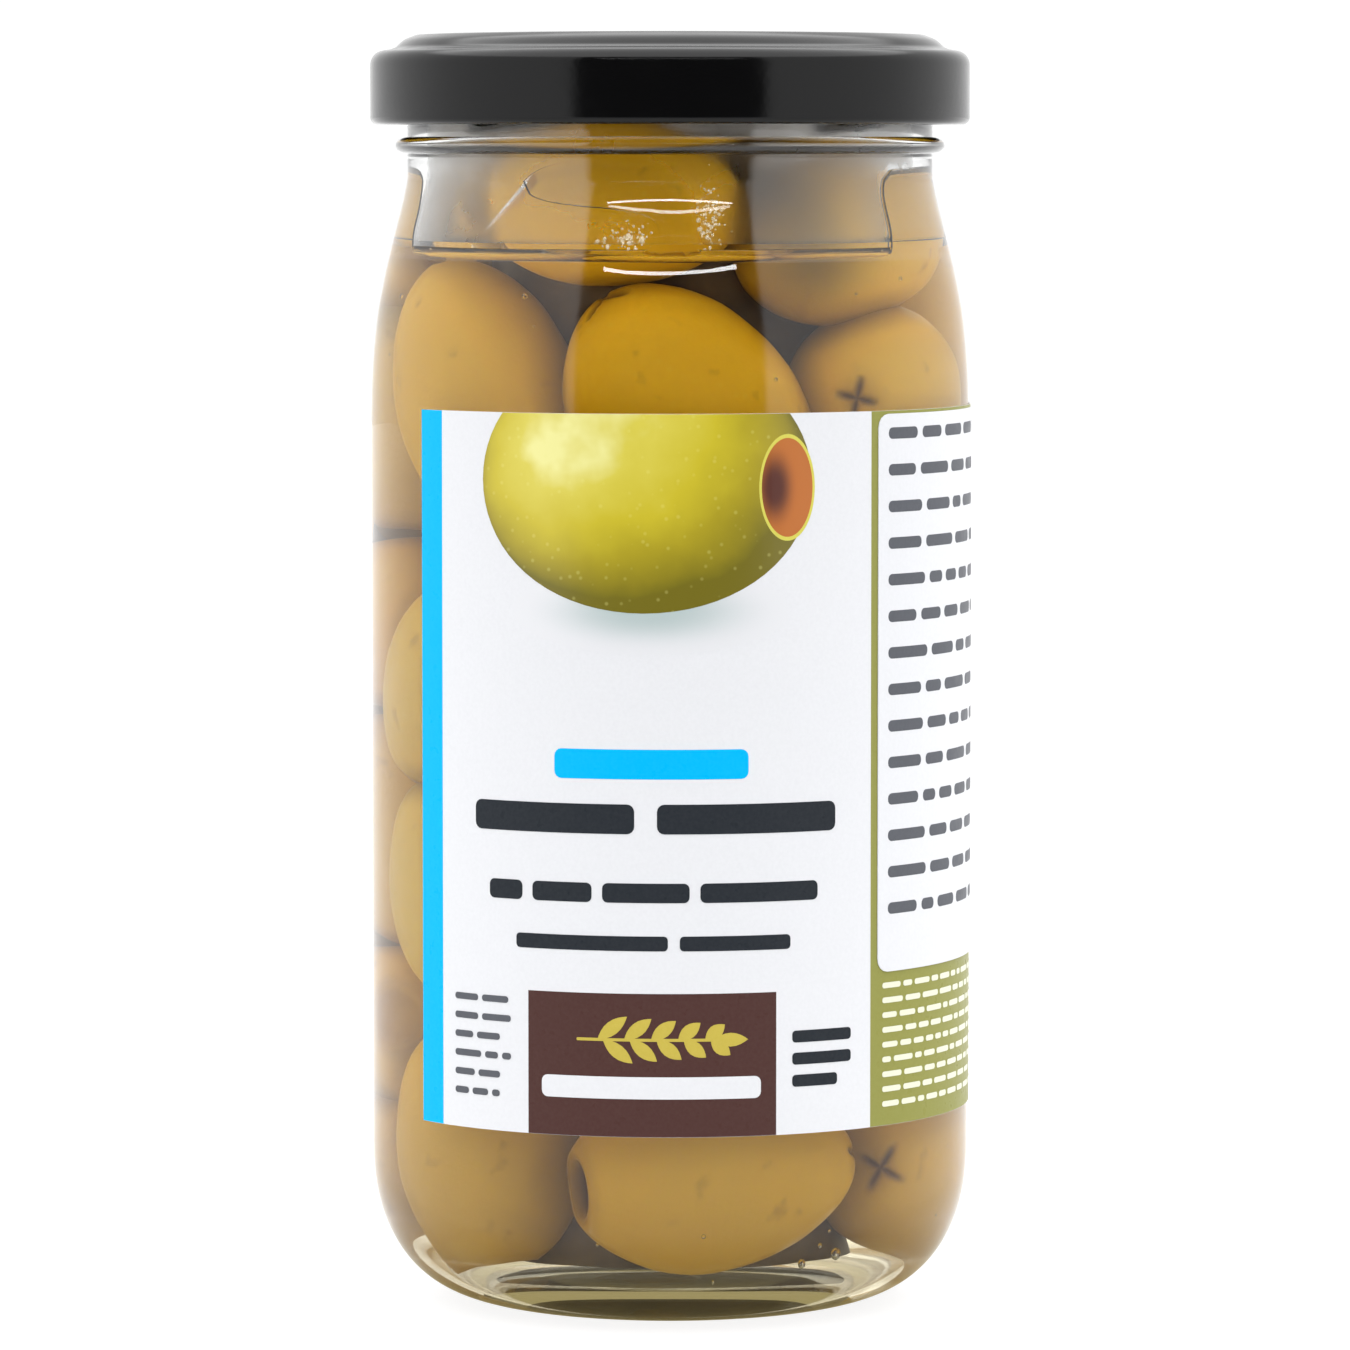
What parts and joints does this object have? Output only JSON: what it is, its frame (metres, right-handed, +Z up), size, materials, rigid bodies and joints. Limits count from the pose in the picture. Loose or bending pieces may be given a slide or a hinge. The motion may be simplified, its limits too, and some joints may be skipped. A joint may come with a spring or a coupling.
{
  "type": "jar of olives",
  "caption": "Shut glass jar of pitted green olives in brine, with a black twist-off lid, a wrap-round paper label and a second sticker on the side.",
  "frame": {"origin": "middle of the jar's base, on the surface it stands on", "axes": "+Z up along the jar's axis; -Y towards the front of the label; +X to the right, where the sticker is"},
  "size_m": [0.0673, 0.0672, 0.1407],
  "materials": {
    "clear_glass": "clear polished glass",
    "black_lacquer": "glossy black lacquer on tinplate",
    "label_paper": "coated white paper, printed in colour fields",
    "sticker_paper": "white self-adhesive paper with grey rows",
    "olive_flesh": "wet golden green olive skin",
    "brine": "clear pale yellow brine",
    "print": "printed colour fields on the label"
  },
  "bodies": {
    "root": {"jar_glass": "clear_glass", "lid": "black_lacquer", "label": "label_paper", "sticker": "sticker_paper", "olives": "olive_flesh"}
  },
  "joints": []
}
